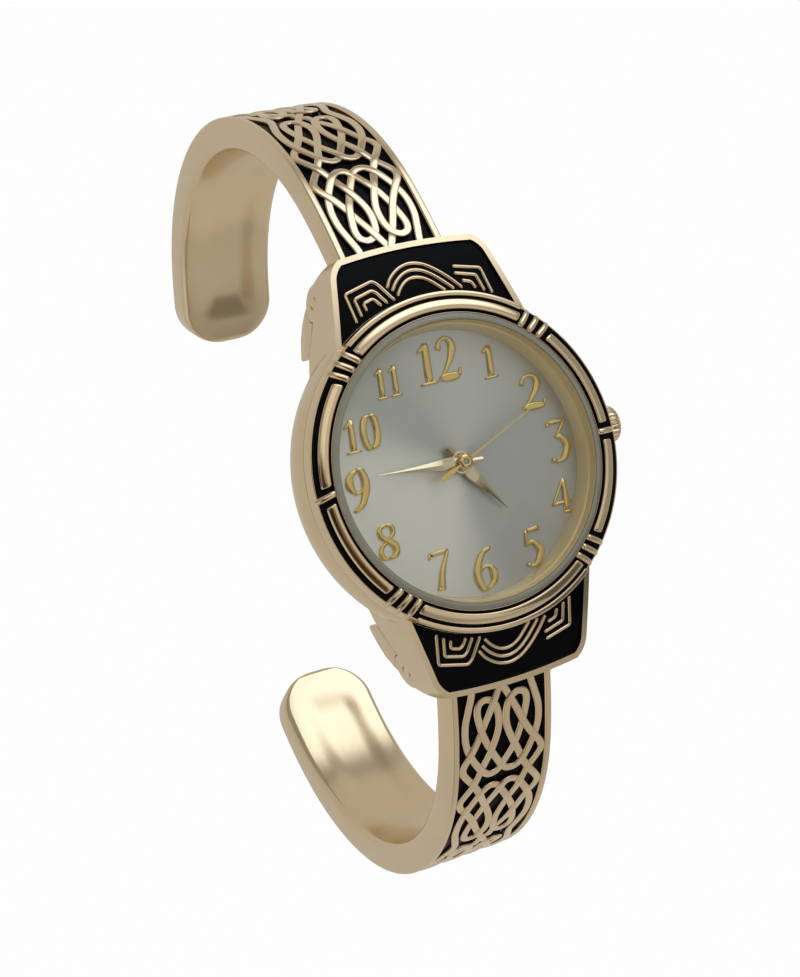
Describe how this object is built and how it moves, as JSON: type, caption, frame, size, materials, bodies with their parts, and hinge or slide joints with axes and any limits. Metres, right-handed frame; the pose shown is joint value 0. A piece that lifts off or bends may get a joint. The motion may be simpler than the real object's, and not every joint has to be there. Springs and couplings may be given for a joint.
{
  "type": "bangle watch",
  "caption": "Bangle watch: a round case between hooded enamel lugs, each holding a sprung, hinged half-cuff faced with pierced interlaced knotwork over black enamel.",
  "frame": {"origin": "centre of the case back's flat outer face", "axes": "+Z out through the dial, +Y to twelve o'clock, +X to three o'clock and the crown; the wrist passes along X"},
  "size_m": [0.0286, 0.0676, 0.0482],
  "materials": {
    "gold": "polished gold plating",
    "pale_gold": "polished pale gold plating",
    "black_enamel": "glossy black enamel",
    "crystal": "clear mineral glass",
    "dial_silver": "silver with fine rays",
    "numeral_gold": "polished gold",
    "hand_gold": "polished gold",
    "flange_gold": "satin gold",
    "brass": "plain brass",
    "steel": "fine brushed",
    "nickel": "nickel plated, satin",
    "spring_steel": "drawn wire",
    "gasket": "matt",
    "white_plastic": "matt",
    "board_green": "satin lacquer",
    "copper": "lacquered wire"
  },
  "bodies": {
    "case": {"case_body": "gold", "bezel": "pale_gold", "bezel_enamel": "black_enamel", "upper_lug_enamel": "black_enamel", "lower_lug_enamel": "black_enamel", "upper_lug_relief": "pale_gold", "lower_lug_relief": "pale_gold", "crystal": "crystal", "crystal_gasket": "gasket", "dial_flange": "flange_gold", "dial": "dial_silver", "hour_numerals": "numeral_gold", "movement_holder": "white_plastic", "main_plate": "brass", "train_bridge": "nickel", "battery": "steel", "battery_clip": "nickel", "circuit_board": "board_green", "coil": "copper", "case_back": "gold", "case_back_gasket": "gasket", "crown_tube": "gold", "upper_hinge_pin": "pale_gold", "lower_hinge_pin": "pale_gold", "upper_hinge_spring": "spring_steel", "lower_hinge_spring": "spring_steel"},
    "upper_arm": {"upper_arm": "gold", "upper_arm_ground": "black_enamel", "upper_knotwork": "pale_gold"},
    "lower_arm": {"lower_arm": "gold", "lower_arm_ground": "black_enamel", "lower_knotwork": "pale_gold"},
    "setting": {"setting_yoke": "steel"},
    "crown": {"crown": "gold", "crown_gasket": "gasket", "crown_stem": "steel"},
    "minute": {"minute_hand": "hand_gold", "cannon_pinion": "brass"},
    "hour": {"hour_hand": "hand_gold", "hour_wheel": "brass"},
    "seconds": {"seconds_hand": "hand_gold", "seconds_arbor": "brass"},
    "minute_wheel": {"minute_wheel": "brass"}
  },
  "joints": [
    {"name": "upper_hinge", "type": "hinge", "parent": "case", "child": "upper_arm", "pos_m": [0, 0.0146, 0.0022], "axis": [1, 0, 0], "range_deg": [0, 22], "stiffness_Nm_per_rad": 0.25, "springref_deg": -11.46, "deforming": ["upper_hinge_spring"]},
    {"name": "lower_hinge", "type": "hinge", "parent": "case", "child": "lower_arm", "pos_m": [0, -0.0146, 0.0022], "axis": [-1, 0, 0], "range_deg": [0, 22], "stiffness_Nm_per_rad": 0.25, "springref_deg": -11.46, "deforming": ["lower_hinge_spring"]},
    {"name": "crown_pull", "type": "slide", "parent": "case", "child": "setting", "axis": [1, 0, 0], "range_m": [0, 0.001]},
    {"name": "crown_turn", "type": "hinge", "parent": "setting", "child": "crown", "pos_m": [0.0145, 0, 0.0044], "axis": [1, 0, 0], "continuous": true},
    {"name": "minute_turn", "type": "hinge", "parent": "case", "child": "minute", "pos_m": [0, 0, 0.006], "axis": [0, 0, 1], "continuous": true},
    {"name": "hour_turn", "type": "hinge", "parent": "case", "child": "hour", "pos_m": [0, 0, 0.006], "axis": [0, 0, 1], "continuous": true},
    {"name": "seconds_turn", "type": "hinge", "parent": "case", "child": "seconds", "pos_m": [0, 0, 0.006], "axis": [0, 0, 1], "continuous": true},
    {"name": "minute_wheel_turn", "type": "hinge", "parent": "case", "child": "minute_wheel", "pos_m": [-0.00101, 0.00218, 0.0046], "axis": [0, 0, 1], "continuous": true}
  ],
  "couplings": [
    {"joint": "minute_turn", "follows": "seconds_turn", "ratio": 0.016667},
    {"joint": "hour_turn", "follows": "seconds_turn", "ratio": 0.0013889},
    {"joint": "minute_wheel_turn", "follows": "seconds_turn", "ratio": -0.0055556}
  ]
}
